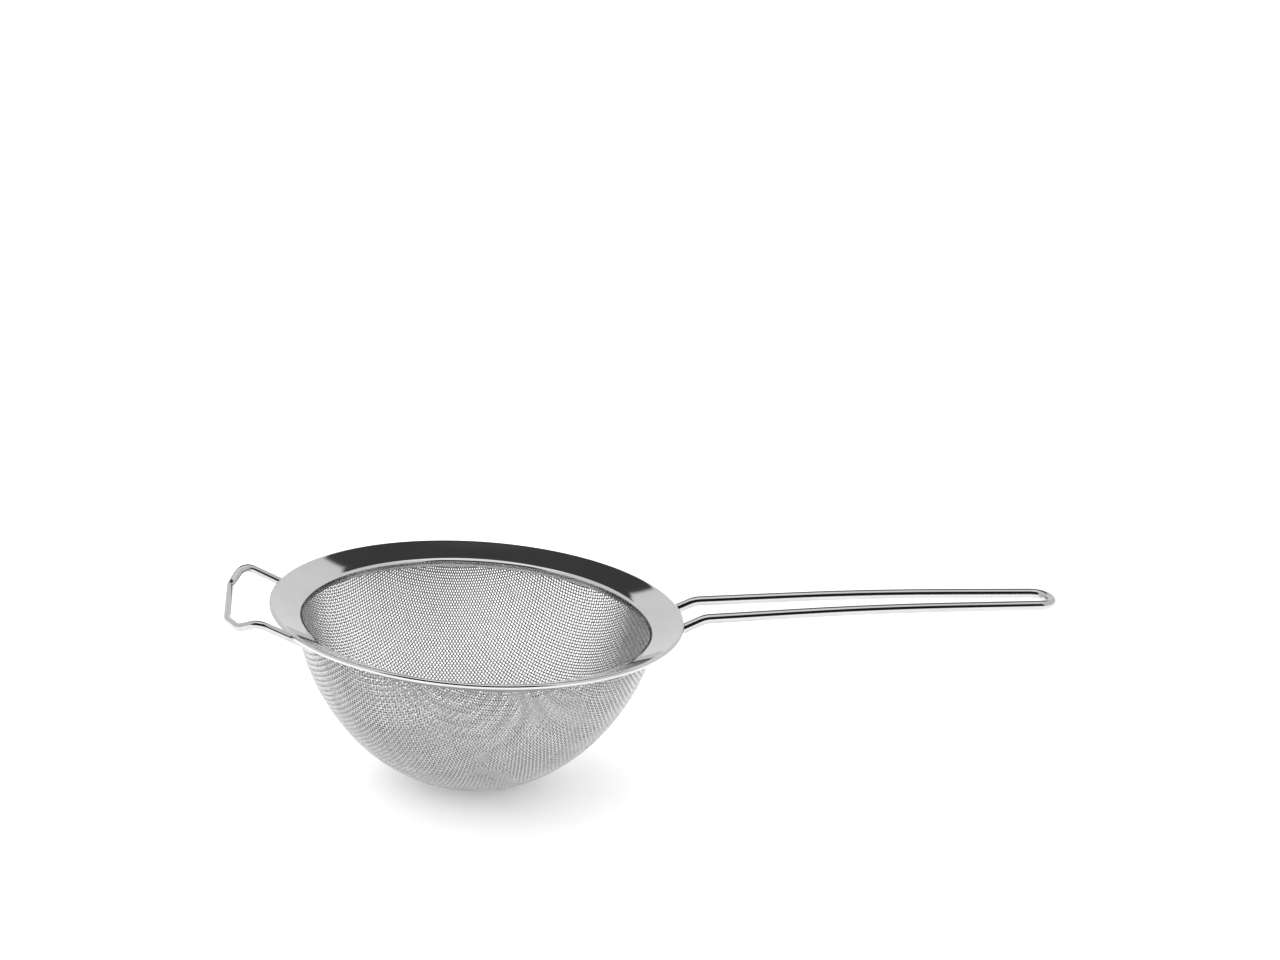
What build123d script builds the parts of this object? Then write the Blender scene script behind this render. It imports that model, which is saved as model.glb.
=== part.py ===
"""Wire-mesh tea strainer: pressed rim, woven bowl, wire handle and wire rest hook.

Units mm.  Origin at the lowest outer point of the bowl, +Z up along the bowl axis,
+X along the handle.  Every piece is one node, welded to its neighbours; nothing moves.
"""
from build123d import *
import math
import os

os.makedirs("parts", exist_ok=True)

# ---------------------------------------------------------------- driving dimensions
RIM_R = 40.0          # outside radius of the rolled rim edge
RIM_TOP = 35.4        # height of the rim's top line over the bowl's lowest point
BEAD_R = 0.5          # radius of the rolled edge
SHEET = 0.4           # sheet thickness of the rim
FLANGE_SLOPE = 0.40   # rise of the flange per mm going outward (about 22 degrees)
COLLAR_R = 33.6       # inside radius of the collar that holds the mesh
COLLAR_DROP = 3.7     # collar's lower edge under the rim top
LIP_R = 1.2           # rounding between flange and collar, on the show side

MESH_T = 0.46         # two crossing wires of 0.23 mm
MESH_TUCK = 0.55      # mesh edge pinched between collar and clamp ring
BOWL_P = 2.15         # bowl profile: (r / R) ^ P + (depth / D) ^ Q = 1
BOWL_Q = 1.5
BOWL_STEPS = 14

CLAMP_SHEET = 0.3
CLAMP_BAND_LOW = 32.05  # lower edge of the clamp ring's upright band
CLAMP_BRIM_R = 36.0     # outside radius of its brim under the flange
SEAT_GAP = 0.015        # clearance left between pinched faces

HANDLE_WIRE = 2.0     # wire diameters
HOOK_WIRE = 1.6
HANDLE_END = 115.9    # centreline of the U-turn, from the bowl axis
HANDLE_BEND_X = 43.9  # where the handle levels out
HANDLE_BEND_Z = 35.45
HANDLE_MID_X = 78.0   # the long part is very slightly bowed about this point
HANDLE_MID_Z = 37.8
HANDLE_END_Z = 38.85
HANDLE_BOW_R = 800.0
HANDLE_HALF = 5.0     # half spacing of the wires at the bend
HANDLE_TAPER = 0.0215  # loss of half spacing per mm
TAIL_R = 38.0         # radius at which the splayed ends run under the rim
TAIL_DEG = 24.5       # angle from the handle to the splayed ends' cut faces
TAIL_TURN_DEG = 10.6  # angle at which they leave the rim's curve
UNDER_Z = 33.3        # centreline height of the handle wire under the rim

HOOK_INNER = (-34.6, 15.0, 33.42)   # cut ends under the rim, one on each side of the handle's line
HOOK_FAR_CREST = (-44.2, 15.3, 37.85)
HOOK_FAR_CORNER = (-46.85, 12.0, 34.8)   # the hand-bent hook is not quite even:
HOOK_NEAR_KNEE = (-48.1, -7.0, 34.8)     # this end of the bar turns in over two bends
HOOK_NEAR_CORNER = (-46.3, -13.2, 35.55)
HOOK_NEAR_CREST = (-42.85, -15.4, 37.35)

BEAD_Z = RIM_TOP - BEAD_R
BEAD_C = RIM_R - BEAD_R
LOW = RIM_TOP - COLLAR_DROP
MESH_IN = COLLAR_R + SHEET + SEAT_GAP
MESH_OUT = MESH_IN + MESH_T


# ---------------------------------------------------------------- shared shapes
def flange_top(r):
    """Height of the flange's show side at radius r."""
    return BEAD_Z + BEAD_R * math.hypot(1, FLANGE_SLOPE) - (BEAD_C - r) * FLANGE_SLOPE


def flange_under(r):
    """Height of the flange's underside at radius r."""
    return flange_top(r) - SHEET * math.hypot(1, FLANGE_SLOPE)


def bowl_points(radius, depth, bottom):
    """Bowl profile from the collar's lower edge to the pole, as (r, z)."""
    pts = []
    for i in range(BOWL_STEPS):
        a = 0.5 * math.pi * i / BOWL_STEPS
        t = math.sin(a) ** (2 / BOWL_Q)
        r = radius * math.cos(a) ** (2 / BOWL_P)
        pts.append((r, bottom + depth * (1 - t)))
    pts.append((0.0, bottom))
    return pts


def rounded_path(corners):
    """Lines and tangent arcs through corners given as (x, y, z, bend radius)."""
    pts = [Vector(*c[:3]) for c in corners]
    edges = []
    last = pts[0]
    for i in range(1, len(pts) - 1):
        u = (pts[i - 1] - pts[i]).normalized()
        v = (pts[i + 1] - pts[i]).normalized()
        half = 0.5 * math.acos(u.dot(v))
        radius = corners[i][3]
        a = pts[i] + u * (radius / math.tan(half))
        b = pts[i] + v * (radius / math.tan(half))
        inward = (u + v).normalized()
        mid = pts[i] + inward * (radius / math.sin(half) - radius)
        if (a - last).dot(u) > 1e-3:
            raise ValueError("bend radius too large at corner %d" % i)
        if (a - last).length > 1e-3:
            edges.append(Edge.make_line(last, a))
        edges.append(Edge.make_three_point_arc(a, mid, b))
        last = b
    edges.append(Edge.make_line(last, pts[-1]))
    return Wire(edges)


# ---------------------------------------------------------------- rim ring
def make_rim():
    """Pressed flange, collar and rolled edge in one sheet; the hook's legs are sunk into it."""
    outer = COLLAR_R + SHEET
    tangent_r = BEAD_C - BEAD_R * FLANGE_SLOPE / math.hypot(1, FLANGE_SLOPE)
    with BuildPart() as rim_ring:
        with BuildSketch(Plane.XZ) as section:
            with BuildLine():
                Polyline(
                    (tangent_r, flange_top(tangent_r)),
                    (COLLAR_R, flange_top(COLLAR_R)),
                    (COLLAR_R, LOW),
                    (outer, LOW),
                    (outer, flange_under(outer)),
                    (BEAD_C, flange_under(BEAD_C)),
                    close=True,
                )
            make_face()
            lip = [v for v in section.vertices() if abs(v.X - COLLAR_R) < 1e-6 and v.Y > LOW + 0.1]
            fillet(lip, LIP_R)
            root = [v for v in section.vertices() if abs(v.X - outer) < 1e-6 and v.Y > LOW + 0.1]
            fillet(root, LIP_R - SHEET)
            with Locations((BEAD_C, BEAD_Z)):
                Circle(BEAD_R)
        revolve(axis=Axis.Z)
        corners = [Vector(*c[:3]) for c in hook_corners()]
        for inner, crest in ((corners[0], corners[1]), (corners[-1], corners[-2])):
            run = (crest - inner).normalized()
            with Locations(Plane(origin=inner - run * 0.4, z_dir=run)):
                Cylinder(
                    HOOK_WIRE / 2 + SEAT_GAP, 6.0,
                    align=(Align.CENTER, Align.CENTER, Align.MIN), mode=Mode.SUBTRACT,
                )
    return rim_ring


# ---------------------------------------------------------------- mesh bowl
def make_bowl():
    """Woven bowl as a closed thin wall; the weave itself is too fine for solids."""
    top = LOW + MESH_TUCK
    outside = bowl_points(MESH_OUT, LOW, 0.0)
    inside = bowl_points(MESH_IN, LOW - MESH_T, MESH_T)
    with BuildPart() as mesh_bowl:
        with BuildSketch(Plane.XZ):
            with BuildLine():
                Line((MESH_IN, top), (MESH_IN, LOW))
                Spline(*inside, tangents=[(0, -1), (-1, 0)])
                Line((0, MESH_T), (0, 0))
                Spline(*outside, tangents=[(0, -1), (-1, 0)])
                Line((MESH_OUT, LOW), (MESH_OUT, top))
                Line((MESH_OUT, top), (MESH_IN, top))
            make_face()
        revolve(axis=Axis.Z)
    return mesh_bowl


# ---------------------------------------------------------------- clamp ring
def make_clamp():
    """Thin angle ring: band around the mesh edge, brim against the flange."""
    r1 = MESH_OUT + SEAT_GAP
    r2 = r1 + CLAMP_SHEET
    drop = SEAT_GAP + CLAMP_SHEET * math.hypot(1, FLANGE_SLOPE)
    with BuildPart() as clamp_ring:
        with BuildSketch(Plane.XZ):
            with BuildLine():
                Polyline(
                    (r1, CLAMP_BAND_LOW),
                    (r2, CLAMP_BAND_LOW),
                    (r2, flange_under(r2) - drop),
                    (CLAMP_BRIM_R, flange_under(CLAMP_BRIM_R) - drop),
                    (CLAMP_BRIM_R, flange_under(CLAMP_BRIM_R) - SEAT_GAP),
                    (r1, flange_under(r1) - SEAT_GAP),
                    close=True,
                )
            make_face()
        revolve(axis=Axis.Z)
    return clamp_ring


# ---------------------------------------------------------------- handle
def handle_corners():
    """One side of the handle's centreline, from the cut end to the U-turn."""
    end_a = math.radians(TAIL_DEG)
    mid_a = math.radians(0.5 * (TAIL_DEG + TAIL_TURN_DEG))
    stretch = TAIL_R / math.cos(math.radians(0.5 * (TAIL_DEG - TAIL_TURN_DEG)))
    mid_half = HANDLE_HALF - HANDLE_TAPER * (HANDLE_MID_X - HANDLE_BEND_X)
    tip_half = HANDLE_HALF - HANDLE_TAPER * (HANDLE_END - HANDLE_BEND_X)
    return [
        (TAIL_R * math.cos(end_a), TAIL_R * math.sin(end_a), UNDER_Z, 0),
        (stretch * math.cos(mid_a), stretch * math.sin(mid_a), UNDER_Z, TAIL_R - 1.0),
        (37.75, 5.12, UNDER_Z, 1.6),
        (39.6, 5.1, UNDER_Z + 0.05, 2.2),
        (HANDLE_BEND_X, HANDLE_HALF, HANDLE_BEND_Z, 5.0),
        (HANDLE_MID_X, mid_half, HANDLE_MID_Z, HANDLE_BOW_R),
        (HANDLE_END, tip_half, HANDLE_END_Z, 0.97 * tip_half),
    ]


def make_handle():
    """Half the wire swept to the middle of the U-turn, then mirrored and joined."""
    side = handle_corners()
    path = rounded_path(side + [(HANDLE_END, 0, side[-1][2], 0)])
    with BuildPart() as handle_loop:
        with BuildSketch(Plane(origin=path @ 0, z_dir=path % 0)):
            Circle(HANDLE_WIRE / 2)
        sweep(path=path)
        mirror(about=Plane.XZ)
    return handle_loop


# ---------------------------------------------------------------- rest hook
def hook_corners():
    """The rest hook's centreline from cut end to cut end: leg, crest, end bar, crest, leg."""
    inner_x, inner_y, inner_z = HOOK_INNER
    return [
        (inner_x, inner_y, inner_z, 0),
        (*HOOK_FAR_CREST, 2.6),
        (*HOOK_FAR_CORNER, 4.2),
        (*HOOK_NEAR_KNEE, 7.0),
        (*HOOK_NEAR_CORNER, 3.2),
        (*HOOK_NEAR_CREST, 2.9),
        (inner_x, -inner_y, inner_z, 0),
    ]


def make_hook():
    """One wire swept from cut end to cut end."""
    path = rounded_path(hook_corners())
    with BuildPart() as rest_hook:
        with BuildSketch(Plane(origin=path @ 0, z_dir=path % 0)):
            Circle(HOOK_WIRE / 2)
        sweep(path=path)
    return rest_hook


# ---------------------------------------------------------------- weld spots
def weld_pair(r, deg, z, half_length, radius, neighbours):
    """Two short weld nuggets lying along the rim, trimmed to the metal around them."""
    a = math.radians(deg)
    spot = Plane(
        origin=(r * math.cos(a), r * math.sin(a), z),
        x_dir=(0, 0, 1),
        z_dir=(-math.sin(a), math.cos(a), 0),
    )
    with BuildPart() as welds:
        with Locations(spot):
            Cylinder(radius, 2 * half_length)
        mirror(about=Plane.XZ)
        for other in neighbours:
            add(other.part, mode=Mode.SUBTRACT)
    return welds


# ---------------------------------------------------------------- build and export
rim_ring = make_rim()
rim_ring.part.label = "rim_ring"
export_step(rim_ring.part, "parts/rim_ring.step")

mesh_bowl = make_bowl()
mesh_bowl.part.label = "mesh_bowl"
export_step(mesh_bowl.part, "parts/mesh_bowl.step")

clamp_ring = make_clamp()
clamp_ring.part.label = "clamp_ring"
export_step(clamp_ring.part, "parts/clamp_ring.step")

handle_loop = make_handle()
handle_loop.part.label = "handle_loop"
export_step(handle_loop.part, "parts/handle_loop.step")

rest_hook = make_hook()
rest_hook.part.label = "rest_hook"
export_step(rest_hook.part, "parts/rest_hook.step")

handle_welds = weld_pair(38.65, 17.0, 34.2, 1.8, 0.5, [rim_ring, handle_loop])
handle_welds.part.label = "handle_welds"
export_step(handle_welds.part, "parts/handle_welds.step")

hook_welds = weld_pair(37.4, 180.0 - 23.7, 33.75, 0.7, 0.6, [rim_ring, rest_hook])
hook_welds.part.label = "hook_welds"
export_step(hook_welds.part, "parts/hook_welds.step")

for piece in (rim_ring, mesh_bowl, clamp_ring, handle_loop, rest_hook, handle_welds, hook_welds):
    box = piece.part.bounding_box()
    print(piece.part.label, len(piece.part.solids()), round(piece.part.volume, 3), box.min, box.max)
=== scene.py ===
"""Tea strainer: woven steel bowl in a pressed rim, with a wire handle and a wire rest hook.

Sizes in this script are millimetres in the frame of the CAD part and are turned into metres
when a mesh is made.  The floor, the soft studio world and the camera come last.
"""

import math

import bpy
import numpy as np
from mathutils import Matrix, Vector


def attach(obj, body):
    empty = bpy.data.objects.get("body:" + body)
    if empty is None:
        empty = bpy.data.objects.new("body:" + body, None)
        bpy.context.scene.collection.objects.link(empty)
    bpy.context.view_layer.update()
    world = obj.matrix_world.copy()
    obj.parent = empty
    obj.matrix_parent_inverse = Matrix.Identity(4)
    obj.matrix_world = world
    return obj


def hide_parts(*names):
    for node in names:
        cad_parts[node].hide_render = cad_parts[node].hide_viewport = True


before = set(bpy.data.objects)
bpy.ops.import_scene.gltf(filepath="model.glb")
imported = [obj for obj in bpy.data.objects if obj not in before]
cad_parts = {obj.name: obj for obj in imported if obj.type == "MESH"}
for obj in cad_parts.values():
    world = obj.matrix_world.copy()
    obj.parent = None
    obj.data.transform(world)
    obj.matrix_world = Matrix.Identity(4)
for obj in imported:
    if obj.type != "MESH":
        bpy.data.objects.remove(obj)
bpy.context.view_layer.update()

MM = 0.001

# ------------------------------------------------------------------ sizes, as in the CAD part
RIM_R = 40.0
RIM_TOP = 35.4
FLANGE_SAG = 0.05     # left by polishing; too small for the CAD part
SAG_FROM = 35.0
SAG_TO = 39.3
BEAD_R = 0.5
SHEET = 0.4
FLANGE_SLOPE = 0.40
COLLAR_R = 33.6
COLLAR_DROP = 3.7
LIP_R = 1.2
BEAD_C = RIM_R - BEAD_R
BEAD_Z = RIM_TOP - BEAD_R
LOW = RIM_TOP - COLLAR_DROP

MESH_MID_R = 34.245   # middle of the woven wall at the collar
MESH_BOTTOM = 0.23    # middle of the wall at the pole
MESH_EDGE = 32.2      # the cloth is cut just above the collar's lower edge
NET_MARGIN = 2.5      # the net of crossings runs on this far past the cut
BOWL_P = 2.15
BOWL_Q = 1.5
PITCH = 0.62          # wire spacing
STRAND = 0.27         # wire diameter, pressed a little flat where two wires cross
CROSSING = 0.23       # distance between two crossing wires' middles
CLOTH_TURN = 45.0     # the wires run diagonally to the handle

HANDLE_WIRE = 2.0
HOOK_WIRE = 1.6


# ------------------------------------------------------------------ mesh helpers
def mesh_object(name, verts_mm, faces, sharp_deg=None):
    """A smooth-shaded object from vertices in mm and a face array or list."""
    mesh = bpy.data.meshes.new(name)
    mesh.from_pydata((np.asarray(verts_mm) * MM).tolist(), [], faces)
    mesh.polygons.foreach_set("use_smooth", [True] * len(mesh.polygons))
    if sharp_deg is not None:
        mesh.set_sharp_from_angle(angle=math.radians(sharp_deg))
    mesh.update()
    obj = bpy.data.objects.new(name, mesh)
    bpy.context.scene.collection.objects.link(obj)
    return obj


def grid_faces(rows, cols):
    """Quads of a grid whose rows run on and whose columns close on themselves."""
    i, j = np.meshgrid(np.arange(rows - 1), np.arange(cols), indexing="ij")
    k = (j + 1) % cols
    quads = np.stack([i * cols + j, i * cols + k, (i + 1) * cols + k, (i + 1) * cols + j], -1)
    return quads.reshape(-1, 4)


def rounded_path(corners, step_deg=4.0):
    """Points along straight runs joined by tangent arcs; corners are (x, y, z, bend radius)."""
    pts = [np.array(c[:3], float) for c in corners]
    out = [pts[0]]
    for i in range(1, len(pts) - 1):
        u = pts[i - 1] - pts[i]
        v = pts[i + 1] - pts[i]
        u /= np.linalg.norm(u)
        v /= np.linalg.norm(v)
        half = 0.5 * math.acos(float(u @ v))
        radius = corners[i][3]
        start = pts[i] + u * radius / math.tan(half)
        centre = pts[i] + (u + v) / np.linalg.norm(u + v) * radius / math.sin(half)
        arm = (start - centre) / radius
        turn = math.pi - 2 * half
        steps = max(6, int(math.degrees(turn) / step_deg) + 1)
        for k in range(steps + 1):
            a = turn * k / steps
            out.append(centre + radius * (arm * math.cos(a) - u * math.sin(a)))
    out.append(pts[-1])
    keep = [out[0]]
    for p in out[1:]:
        if np.linalg.norm(p - keep[-1]) > 1e-4:
            keep.append(p)
    return np.array(keep)


def tube(name, path, radius, sides=40, bevel=0.12):
    """A round wire along a path, with slightly broken edges at its two cut faces."""
    tangent = np.gradient(path, axis=0)
    tangent /= np.linalg.norm(tangent, axis=1)[:, None]
    side = np.cross(tangent[0], [0.0, 0.0, 1.0])
    side /= np.linalg.norm(side)
    rings = []
    angle = np.linspace(0, 2 * math.pi, sides, endpoint=False)

    def ring(centre, t, s, r):
        up = np.cross(s, t)
        return centre + r * (np.cos(angle)[:, None] * s + np.sin(angle)[:, None] * up)

    for i, (p, t) in enumerate(zip(path, tangent)):
        side = side - t * (side @ t)
        side /= np.linalg.norm(side)
        if i == 0:
            rings.append(ring(p, t, side, radius - bevel))
            rings.append(ring(p + t * bevel, t, side, radius))
        elif i == len(path) - 1:
            rings.append(ring(p - t * bevel, t, side, radius))
            rings.append(ring(p, t, side, radius - bevel))
        else:
            rings.append(ring(p, t, side, radius))
    verts = np.concatenate(rings)
    faces = grid_faces(len(rings), sides).tolist()
    last = len(verts) - sides
    faces.append(list(range(sides))[::-1])
    faces.append([last + k for k in range(sides)])
    return mesh_object(name, verts, faces, sharp_deg=38)


# ------------------------------------------------------------------ rim
def arc(cx, cz, r, from_deg, to_deg, steps):
    return [
        (cx + r * math.cos(math.radians(a)), cz + r * math.sin(math.radians(a)))
        for a in np.linspace(from_deg, to_deg, steps)
    ]


def corner_arc(a, b, c, r, steps):
    """The rounded corner at b between a and c."""
    pts = rounded_path([(a[0], 0, a[1], 0), (b[0], 0, b[1], r), (c[0], 0, c[1], 0)], 90.0 / steps)
    return [(p[0], p[2]) for p in pts[1:-1]]


def flange_top(r):
    """Height of the flange's show side, tangent to the rolled edge."""
    return BEAD_Z + BEAD_R * math.hypot(1, FLANGE_SLOPE) - (BEAD_C - r) * FLANGE_SLOPE


def flange_under(r):
    return flange_top(r) - SHEET * math.hypot(1, FLANGE_SLOPE)


def dished(r):
    """The show side with its slight sag between lip and rolled edge."""
    across = min(max((r - SAG_FROM) / (SAG_TO - SAG_FROM), 0.0), 1.0)
    return flange_top(r) - FLANGE_SAG * 4 * across * (1 - across)


def rim_section():
    """Closed outline of the rim sheet as (radius, height), starting under the rolled edge."""
    outer = COLLAR_R + SHEET
    top_in = (COLLAR_R, flange_top(COLLAR_R))
    under_in = (outer, flange_under(outer))
    lean = math.atan(FLANGE_SLOPE)
    d_top = BEAD_R * math.sin(lean)
    over = BEAD_R - SHEET
    d_under = over * math.sin(lean) + math.sqrt(BEAD_R**2 - over**2) * math.cos(lean)
    join_top = (BEAD_C - d_top, flange_top(BEAD_C - d_top))
    join_under = (BEAD_C - d_under, flange_under(BEAD_C - d_under))
    a_top = math.degrees(math.atan2(join_top[1] - BEAD_Z, -d_top))
    a_under = math.degrees(math.atan2(join_under[1] - BEAD_Z, -d_under)) + 360
    pts = arc(BEAD_C, BEAD_Z, BEAD_R, a_under - 360, a_top, 28)
    pts += [(r, dished(r)) for r in np.linspace(join_top[0], 35.0, 13)[1:]]
    pts += corner_arc((38.0, flange_top(38.0)), top_in, (COLLAR_R, LOW), LIP_R, 22)
    pts += [(COLLAR_R, z) for z in np.linspace(32.9, LOW + 0.12, 4)]
    pts += arc(COLLAR_R + 0.12, LOW + 0.12, 0.12, 180, 270, 5)
    pts += arc(outer - 0.12, LOW + 0.12, 0.12, 270, 360, 5)
    pts += [(outer, 32.6)]
    pts += corner_arc((outer, LOW), under_in, (38.0, flange_under(38.0)), LIP_R - SHEET, 14)
    pts += [(r, flange_under(r)) for r in np.linspace(35.4, join_under[0], 8)]
    return pts


def make_rim(steps=640):
    """The rim's section turned round the bowl's axis."""
    pts = np.array(rim_section())
    a = np.linspace(0, 2 * math.pi, steps, endpoint=False)
    r, z = pts[:, 0], pts[:, 1]
    height = np.broadcast_to(z, (steps, len(z)))
    verts = np.stack([np.outer(np.cos(a), r), np.outer(np.sin(a), r), height], -1)
    faces = grid_faces(steps + 1, len(z)) % (steps * len(z))  # the last row meets the first
    return mesh_object("rim_sheet", verts.reshape(-1, 3), faces[:, ::-1].tolist(), sharp_deg=30)


# ------------------------------------------------------------------ woven bowl
def wall_value(p):
    """Zero on the middle surface of the woven wall, and its gradient there."""
    depth = LOW - MESH_BOTTOM
    r = np.maximum(np.hypot(p[:, 0], p[:, 1]), 1e-6)
    t = (LOW - p[:, 2]) / depth
    inside = np.maximum(t, 0.0)
    value = (r / MESH_MID_R) ** BOWL_P + inside**BOWL_Q - 1
    slope_r = BOWL_P * r ** (BOWL_P - 1) / MESH_MID_R**BOWL_P
    grad = np.stack(
        [slope_r * p[:, 0] / r, slope_r * p[:, 1] / r, -BOWL_Q * np.sqrt(inside) / depth], -1
    )
    return value, grad


def cloth_net(count):
    """Crossing points of one quarter of the cloth: every cell keeps its four side lengths."""
    net = np.full((count, count, 3), np.nan)
    net[0, 0] = (0, 0, MESH_BOTTOM)
    top = MESH_EDGE + NET_MARGIN
    for i in range(1, count):
        # along the meridian: the next point one pitch further on the profile
        prev = net[i - 1, 0]
        guess = prev + (prev - net[i - 2, 0] if i > 1 else np.array([PITCH, 0, 0.0]))
        q = guess[[0, 2]]
        for _ in range(12):
            value, grad = wall_value(np.array([[q[0], 0.0, q[1]]]))
            d = q - prev[[0, 2]]
            f = np.array([value[0], d @ d - PITCH**2])
            q = q - np.linalg.solve(np.array([grad[0][[0, 2]], 2 * d]), f)
        net[i, 0] = (q[0], 0, q[1])
        net[0, i] = (0, q[0], q[1])
    for total in range(2, 2 * count - 1):
        i = np.arange(max(1, total - count + 1), min(count - 1, total - 1) + 1)
        j = total - i
        a, b, c = net[i - 1, j], net[i, j - 1], net[i - 1, j - 1]
        good = np.isfinite(a[:, 0]) & np.isfinite(b[:, 0]) & (a[:, 2] < top) & (b[:, 2] < top)
        if not good.any():
            continue
        a, b, c, ii, jj = a[good], b[good], c[good], i[good], j[good]
        p = a + b - c
        for _ in range(14):
            value, grad = wall_value(p)
            rows = np.stack([2 * (p - a), 2 * (p - b), grad], 1)
            off_a = ((p - a) ** 2).sum(1) - PITCH**2
            off_b = ((p - b) ** 2).sum(1) - PITCH**2
            f = np.stack([off_a, off_b, value], 1)
            p = p - np.linalg.solve(rows, f[:, :, None])[:, :, 0]
        fits = (np.abs(wall_value(p)[0]) < 1e-5) & (np.linalg.norm(p - c, axis=1) > 0.05)
        net[ii[fits], jj[fits]] = p[fits]
    return net


def full_net(quarter):
    """The quarter mirrored into a whole cloth and turned on the bowl's axis."""
    n = len(quarter)
    a = math.radians(CLOTH_TURN)
    turn = np.array([[math.cos(a), -math.sin(a), 0], [math.sin(a), math.cos(a), 0], [0, 0, 1]])
    net = np.full((2 * n - 1, 2 * n - 1, 3), np.nan)
    for sx in (1, -1):
        for sy in (1, -1):
            part = quarter * np.array([sx, sy, 1.0]) @ turn.T
            ii = n - 1 + sx * np.arange(n)
            jj = n - 1 + sy * np.arange(n)
            net[np.ix_(ii, jj)] = part
    return net


def strand_points(line, parity, cuts=4):
    """Centreline of one wire: over and under its neighbours, cut off at the cloth's edge."""
    finite = np.isfinite(line[:, 0])
    if finite.sum() < 3:
        return None
    first = np.argmax(finite)
    last = len(finite) - np.argmax(finite[::-1])
    line = line[first:last]
    s = np.arange(0, (len(line) - 1) * cuts + 1) / cuts
    base = np.stack([np.interp(s, np.arange(len(line)), line[:, k]) for k in range(3)], -1)
    grad = wall_value(base)[1]
    normal = grad / np.linalg.norm(grad, axis=1)[:, None]
    wave = 0.5 * CROSSING * np.cos(math.pi * (s + first)) * (1 if parity % 2 == 0 else -1)
    inside = base[:, 2] <= MESH_EDGE
    points = (base + normal * wave[:, None])[inside]
    return points if len(points) > 3 else None


def strands(net, along_first):
    """All wires that run one way, in order across the cloth."""
    out = []
    for k in range(net.shape[0]):
        line = net[:, k] if along_first else net[k, :]
        points = strand_points(line, k + (0 if along_first else 1))
        if points is not None:
            out.append(points)
    return out


def weave_piece(name, wires, sides=6):
    """One object holding several wires of the cloth."""
    angle = np.linspace(0, 2 * math.pi, sides, endpoint=False)
    verts, faces, tones, base = [], [], [], 0
    for points, tone in wires:
        t = np.gradient(points, axis=0)
        t /= np.linalg.norm(t, axis=1)[:, None]
        grad = wall_value(points)[1]
        n = grad / np.linalg.norm(grad, axis=1)[:, None]
        n = n - t * (n * t).sum(1)[:, None]
        n /= np.linalg.norm(n, axis=1)[:, None]
        b = np.cross(t, n)
        ring = points[:, None] + 0.5 * STRAND * (
            np.cos(angle)[None, :, None] * n[:, None] + np.sin(angle)[None, :, None] * b[:, None]
        )
        verts.append(ring.reshape(-1, 3))
        faces.append(grid_faces(len(points), sides) + base)
        tones.append(np.full(len(points) * sides, tone))
        base += len(points) * sides
    obj = mesh_object(name, np.concatenate(verts), np.concatenate(faces).tolist())
    attribute = obj.data.attributes.new("wire_tone", "FLOAT", "POINT")
    attribute.data.foreach_set("value", np.concatenate(tones).astype(np.float32))
    return obj


def make_weave(parts_each_way=4, crossings=96):
    """The whole cloth, as a few objects of neighbouring wires each way."""
    net = full_net(cloth_net(crossings))
    rng = np.random.default_rng(7)
    pieces = []
    for way, tag in ((True, "warp"), (False, "weft")):
        wires = [(p, rng.random()) for p in strands(net, way)]
        sizes = np.cumsum([len(p) for p, _ in wires])
        for k in range(parts_each_way):
            low, high = sizes[-1] * k / parts_each_way, sizes[-1] * (k + 1) / parts_each_way
            group = [w for w, size in zip(wires, sizes) if low < size <= high]
            pieces.append(weave_piece("weave_%s_%d" % (tag, k + 1), group))
    return pieces


# ------------------------------------------------------------------ handle and hook
def handle_path():
    """The handle's centreline: splayed end, bend under the rim, U-turn and back."""
    tail_r, tail_deg, turn_deg, under_z = 38.0, 24.5, 10.6, 33.3
    bend_x, bend_z, half, taper = 43.9, 35.45, 5.0, 0.0215
    mid_x, mid_z, end_x, end_z = 78.0, 37.8, 115.9, 38.85
    mid_a = math.radians(0.5 * (tail_deg + turn_deg))
    end_a = math.radians(tail_deg)
    stretch = tail_r / math.cos(math.radians(0.5 * (tail_deg - turn_deg)))
    tip_half = half - taper * (end_x - bend_x)
    side = [
        (tail_r * math.cos(end_a), tail_r * math.sin(end_a), under_z, 0),
        (stretch * math.cos(mid_a), stretch * math.sin(mid_a), under_z, tail_r - 1.0),
        (37.75, 5.12, under_z, 1.6),
        (39.6, 5.1, under_z + 0.05, 2.2),
        (bend_x, half, bend_z, 5.0),
        (mid_x, half - taper * (mid_x - bend_x), mid_z, 800.0),
        (end_x, tip_half, end_z, 0.97 * tip_half),
    ]
    other = [(x, -y, z, bend) for x, y, z, bend in reversed(side)]
    return rounded_path(side + other, 3.0)


def hook_path():
    """The hook's centreline from cut end to cut end; not quite even."""
    return rounded_path(
        [
            (-34.6, 15.0, 33.42, 0),
            (-44.2, 15.3, 37.85, 2.6),
            (-46.85, 12.0, 34.8, 4.2),
            (-48.1, -7.0, 34.8, 7.0),
            (-46.3, -13.2, 35.55, 3.2),
            (-42.85, -15.4, 37.35, 2.9),
            (-34.6, -15.0, 33.42, 0),
        ],
        3.0,
    )


# ------------------------------------------------------------------ materials
def new_material(name):
    mat = bpy.data.materials.new(name)
    mat.use_nodes = True
    nodes = mat.node_tree.nodes
    nodes.clear()
    out = nodes.new("ShaderNodeOutputMaterial")
    shader = nodes.new("ShaderNodeBsdfPrincipled")
    mat.node_tree.links.new(shader.outputs["BSDF"], out.inputs["Surface"])
    return mat, mat.node_tree, shader


def node(tree, kind, **values):
    n = tree.nodes.new(kind)
    for key, value in values.items():
        if key in n.inputs:
            n.inputs[key].default_value = value
        else:
            setattr(n, key, value)
    return n


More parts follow.
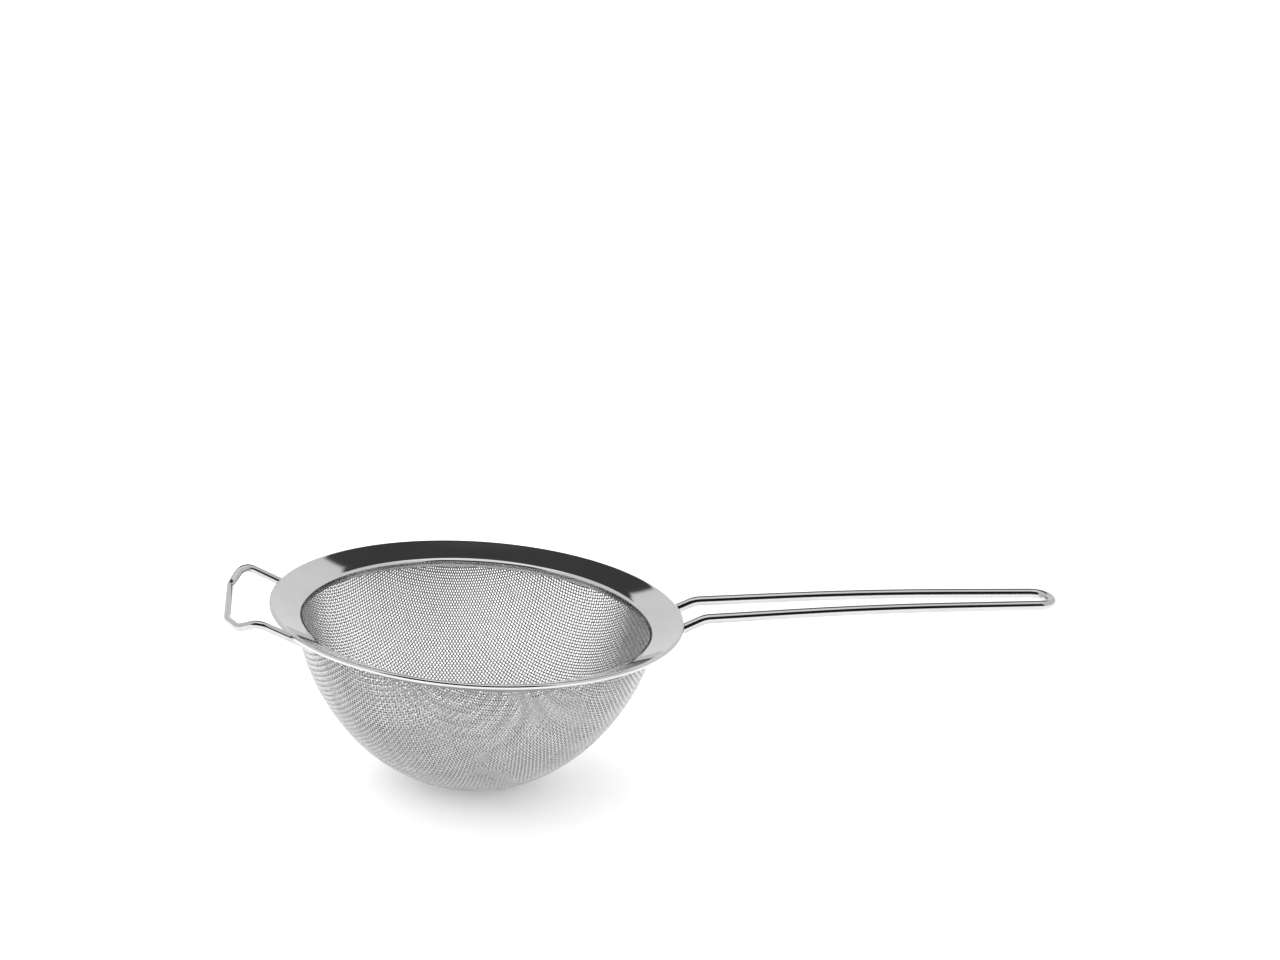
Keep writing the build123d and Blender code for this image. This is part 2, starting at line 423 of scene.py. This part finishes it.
def noise(tree, coord, scale, detail=3.0, stretch=(1, 1, 1)):
    mapping = node(tree, "ShaderNodeMapping")
    mapping.inputs["Scale"].default_value = stretch
    tree.links.new(coord, mapping.inputs["Vector"])
    n = node(tree, "ShaderNodeTexNoise")
    n.inputs["Scale"].default_value = scale
    n.inputs["Detail"].default_value = detail
    tree.links.new(mapping.outputs["Vector"], n.inputs["Vector"])
    return n.outputs["Fac"]


def ramp(tree, source, stops):
    r = node(tree, "ShaderNodeValToRGB")
    elements = r.color_ramp.elements
    while len(elements) > len(stops):
        elements.remove(elements[-1])
    while len(elements) < len(stops):
        elements.new(1.0)
    for e, (at, colour) in zip(elements, stops):
        e.position = at
        e.color = (*colour, 1.0)
    tree.links.new(source, r.inputs["Fac"])
    return r.outputs["Color"]


def spread(tree, source, low, high):
    m = node(tree, "ShaderNodeMapRange")
    m.inputs["To Min"].default_value = low
    m.inputs["To Max"].default_value = high
    tree.links.new(source, m.inputs["Value"])
    return m.outputs["Result"]


def bump(tree, shader, height, strength, distance):
    b = node(tree, "ShaderNodeBump")
    b.inputs["Strength"].default_value = strength
    b.inputs["Distance"].default_value = distance
    tree.links.new(height, b.inputs["Height"])
    tree.links.new(b.outputs["Normal"], shader.inputs["Normal"])


def polished_sheet():
    """Pressed and polished sheet: faint turned rings, slight unevenness, a few smudges."""
    mat, tree, shader = new_material("polished_rim_steel")
    shader.inputs["Metallic"].default_value = 1.0
    coord = node(tree, "ShaderNodeTexCoord").outputs["Object"]
    flat = node(tree, "ShaderNodeVectorMath", operation="MULTIPLY")
    flat.inputs[1].default_value = (1, 1, 0)
    tree.links.new(coord, flat.inputs[0])
    length = node(tree, "ShaderNodeVectorMath", operation="LENGTH")
    tree.links.new(flat.outputs["Vector"], length.inputs[0])
    radius = node(tree, "ShaderNodeCombineXYZ")
    tree.links.new(length.outputs["Value"], radius.inputs["X"])
    rings = noise(tree, radius.outputs["Vector"], 9000.0, 2.0)
    patches = noise(tree, coord, 90.0, 4.0)
    waves = noise(tree, coord, 55.0, 1.0)
    tree.links.new(
        ramp(tree, patches, [(0.35, (0.565, 0.565, 0.57)), (0.65, (0.605, 0.605, 0.61))]),
        shader.inputs["Base Color"],
    )
    mixed = node(tree, "ShaderNodeMath", operation="MULTIPLY")
    tree.links.new(rings, mixed.inputs[0])
    tree.links.new(patches, mixed.inputs[1])
    tree.links.new(spread(tree, mixed.outputs["Value"], 0.03, 0.14), shader.inputs["Roughness"])
    bump(tree, shader, waves, 0.12, 0.0004)
    return mat


def drawn_wire():
    """Polished drawn wire: fine lines along its run, small handling marks."""
    mat, tree, shader = new_material("polished_drawn_wire")
    shader.inputs["Metallic"].default_value = 1.0
    coord = node(tree, "ShaderNodeTexCoord").outputs["Object"]
    lines = noise(tree, coord, 1500.0, 3.0, stretch=(0.04, 1, 1))
    marks = noise(tree, coord, 320.0, 5.0)
    tree.links.new(
        ramp(tree, lines, [(0.3, (0.47, 0.47, 0.475)), (0.7, (0.53, 0.53, 0.535))]),
        shader.inputs["Base Color"],
    )
    tree.links.new(spread(tree, marks, 0.04, 0.15), shader.inputs["Roughness"])
    bump(tree, shader, lines, 0.06, 0.00005)
    return mat


def woven_wire():
    """Fine cloth wire, a little duller, no two wires quite alike."""
    mat, tree, shader = new_material("woven_cloth_wire")
    shader.inputs["Metallic"].default_value = 1.0
    tone = node(tree, "ShaderNodeAttribute", attribute_name="wire_tone").outputs["Fac"]
    coord = node(tree, "ShaderNodeTexCoord").outputs["Object"]
    patches = noise(tree, coord, 140.0, 3.0)
    tree.links.new(
        ramp(tree, tone, [(0.0, (0.49, 0.49, 0.495)), (1.0, (0.60, 0.60, 0.60))]),
        shader.inputs["Base Color"],
    )
    tree.links.new(spread(tree, patches, 0.18, 0.36), shader.inputs["Roughness"])
    return mat


def shade_painted_sheet():
    """Unpolished, slightly rough sheet, its colour painted near-black as painted shade for the shadowed
    gap under the flange.
    """
    mat, tree, shader = new_material("clamp_steel_painted_shade")
    shader.inputs["Metallic"].default_value = 1.0
    coord = node(tree, "ShaderNodeTexCoord").outputs["Object"]
    patches = noise(tree, coord, 160.0, 5.0)
    # base colour: painted shade, near-black steel that stands in for the shadow under the flange; the
    # patches only vary its tone at random
    tree.links.new(
        ramp(tree, patches, [(0.3, (0.16, 0.16, 0.165)), (0.7, (0.24, 0.24, 0.24))]),
        shader.inputs["Base Color"],
    )
    tree.links.new(spread(tree, patches, 0.22, 0.42), shader.inputs["Roughness"])
    bump(tree, shader, patches, 0.15, 0.0001)
    return mat


def weld_metal():
    """Spot-welded metal: rough, with straw and grey heat tint."""
    mat, tree, shader = new_material("weld_heat_tint")
    shader.inputs["Metallic"].default_value = 1.0
    coord = node(tree, "ShaderNodeTexCoord").outputs["Object"]
    tint = noise(tree, coord, 700.0, 4.0)
    grain = noise(tree, coord, 4200.0, 4.0)
    tree.links.new(
        ramp(
            tree,
            tint,
            [(0.3, (0.30, 0.27, 0.25)), (0.55, (0.42, 0.39, 0.35)), (0.75, (0.50, 0.50, 0.51))],
        ),
        shader.inputs["Base Color"],
    )
    tree.links.new(spread(tree, grain, 0.3, 0.55), shader.inputs["Roughness"])
    bump(tree, shader, grain, 0.5, 0.00008)
    return mat


def paint(obj, mat):
    obj.data.materials.clear()
    obj.data.materials.append(mat)


# ------------------------------------------------------------------ the object
sheet_mat, wire_mat, cloth_mat = polished_sheet(), drawn_wire(), woven_wire()
clamp_painted_shade_mat, weld_mat = shade_painted_sheet(), weld_metal()

rim = make_rim()
paint(rim, sheet_mat)
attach(rim, "root")
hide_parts("rim_ring")

for piece in make_weave():
    paint(piece, cloth_mat)
    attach(piece, "root")
    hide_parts("mesh_bowl")

handle = tube("handle_wire", handle_path(), HANDLE_WIRE / 2)
hook = tube("hook_wire", hook_path(), HOOK_WIRE / 2, sides=36)
for piece, stands_for in ((handle, "handle_loop"), (hook, "rest_hook")):
    paint(piece, wire_mat)
    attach(piece, "root")
    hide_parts(stands_for)

# the clamp ring gets the near-black painted-shade material
paint(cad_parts["clamp_ring"], clamp_painted_shade_mat)
paint(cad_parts["handle_welds"], weld_mat)
paint(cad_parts["hook_welds"], weld_mat)


# ------------------------------------------------------------------ floor
def make_floor():
    """A matt near-white table far larger than the object."""
    mat, tree, shader = new_material("studio_floor")
    coord = node(tree, "ShaderNodeTexCoord").outputs["Object"]
    tree.links.new(
        ramp(tree, noise(tree, coord, 3.0, 2.0), [(0.0, (0.84, 0.84, 0.84)), (1.0, (0.86, 0.86, 0.86))]),
        shader.inputs["Base Color"],
    )
    shader.inputs["Roughness"].default_value = 0.9
    shader.inputs["Specular IOR Level"].default_value = 0.1
    size = 4000.0
    floor = mesh_object(
        "floor", [(-size, -size, 0), (size, -size, 0), (size, size, 0), (-size, size, 0)], [(0, 1, 2, 3)]
    )
    paint(floor, mat)


make_floor()


# ------------------------------------------------------------------ studio light
HEADING = 12.02       # the camera looks this far round from +Y towards +X
TILT = 17.11          # and down by this much
ROLL = 4.96
DISTANCE = 503.0
AIM = (30.35, 3.23, 60.88)
LENS = 73.1


def studio_world():
    """A light tent: bright above, dark opening in front, dark panel high behind.

    Elevations and azimuths are degrees; azimuth 0 is behind the object, 90 to its right.
    """
    world = bpy.data.worlds.new("studio")
    bpy.context.scene.world = world
    world.use_nodes = True
    tree = world.node_tree
    tree.nodes.clear()
    link = tree.links.new
    out = node(tree, "ShaderNodeOutputWorld")
    back = node(tree, "ShaderNodeBackground")
    link(back.outputs["Background"], out.inputs["Surface"])
    coord = node(tree, "ShaderNodeTexCoord").outputs["Generated"]
    a = math.radians(HEADING)

    def along(vector):
        d = node(tree, "ShaderNodeVectorMath", operation="DOT_PRODUCT")
        d.inputs[1].default_value = vector
        link(coord, d.inputs[0])
        return d.outputs["Value"]

    def math2(op, x, y):
        m = node(tree, "ShaderNodeMath", operation=op)
        for k, v in enumerate((x, y)):
            if isinstance(v, (int, float)):
                m.inputs[k].default_value = v
            else:
                link(v, m.inputs[k])
        return m.outputs["Value"]

    def step(source, low, high, top=1.0):
        """0 below low, top above high, smooth between."""
        m = node(tree, "ShaderNodeMapRange", interpolation_type="SMOOTHSTEP")
        m.inputs["From Min"].default_value = low
        m.inputs["From Max"].default_value = high
        m.inputs["To Max"].default_value = top
        link(source, m.inputs["Value"])
        return m.outputs["Result"]

    def fall(source, low, high):
        return math2("SUBTRACT", 1.0, step(source, low, high))

    behind = along((math.sin(a), math.cos(a), 0))
    side = along((math.cos(a), -math.sin(a), 0))
    up = along((0, 0, 1))
    elevation = math2("MULTIPLY", math2("ARCSINE", up, 0.0), 180 / math.pi)
    azimuth = math2("MULTIPLY", math2("ARCTAN2", side, behind), 180 / math.pi)
    off_behind = math2("ABSOLUTE", azimuth, 0.0)

    slanted = math2("SUBTRACT", elevation, math2("MULTIPLY", azimuth, 0.14))
    panel = math2(
        "MULTIPLY",
        math2("MULTIPLY", step(slanted, 38.5, 40.5), fall(elevation, 68, 70)),
        fall(off_behind, 36, 44),
    )
    opening = math2(
        "MULTIPLY",
        math2("MULTIPLY", step(elevation, 1, 5), fall(elevation, 58, 62)),
        step(off_behind, 128, 136),
    )
    level = math2("ADD", 0.93, step(elevation, 60, 66, 0.30))
    level = math2("MULTIPLY", level, math2("SUBTRACT", 1.0, math2("MULTIPLY", panel, 0.93)))
    level = math2("MULTIPLY", level, math2("SUBTRACT", 1.0, math2("MULTIPLY", opening, 0.98)))

    # what lights matt surfaces: an even, strong tent, brighter from the left and behind
    slope = math2("ADD", math2("MULTIPLY", side, -1.0), math2("MULTIPLY", behind, 0.2))
    fill = math2("ADD", 2.0, slope)
    rays = node(tree, "ShaderNodeLightPath")

    def choose(ray, on, off):
        """The level "on" for this kind of ray and "off" for every other kind."""
        mix = node(tree, "ShaderNodeMix", data_type="FLOAT")
        link(rays.outputs[ray], mix.inputs["Factor"])
        link(off, mix.inputs["A"])
        if isinstance(on, float):
            mix.inputs["B"].default_value = on
        else:
            link(on, mix.inputs["B"])
        return mix.outputs["Result"]

    strength = choose("Is Camera Ray", 1.0, choose("Is Diffuse Ray", fill, level))
    link(strength, back.inputs["Strength"])
    back.inputs["Color"].default_value = (1, 1, 1, 1)


studio_world()


def make_sun():
    """A weak, soft light from above, behind and left, unseen in the metal."""
    sun = bpy.data.lights.new("soft_top", "SUN")
    sun.energy = 0.30
    sun.angle = math.radians(30)
    lamp = bpy.data.objects.new("soft_top", sun)
    lamp.rotation_euler = (math.radians(-25), math.radians(-20), 0)
    lamp.visible_glossy = False
    bpy.context.scene.collection.objects.link(lamp)


make_sun()


# ------------------------------------------------------------------ camera
def make_camera():
    """A level strainer seen as a leaning one: the camera carries the lean as roll."""
    h, t, r = math.radians(HEADING), math.radians(TILT), math.radians(ROLL)
    forward = Vector((math.sin(h) * math.cos(t), math.cos(h) * math.cos(t), -math.sin(t)))
    level = Vector((math.cos(h), -math.sin(h), 0))
    above = level.cross(forward)
    right = level * math.cos(r) + above * math.sin(r)
    up = right.cross(forward)
    place = (Vector(AIM) - forward * DISTANCE) * MM
    data = bpy.data.cameras.new("camera")
    data.lens = LENS
    data.sensor_width = 36.0
    data.clip_start = 0.01
    data.clip_end = 50.0
    camera = bpy.data.objects.new("camera", data)
    turn = Matrix((right, up, -forward)).transposed()
    camera.matrix_world = Matrix.Translation(place) @ turn.to_4x4()
    bpy.context.scene.collection.objects.link(camera)
    bpy.context.scene.camera = camera


make_camera()

bpy.context.scene.view_settings.view_transform = "Standard"
bpy.context.scene.view_settings.look = "None"
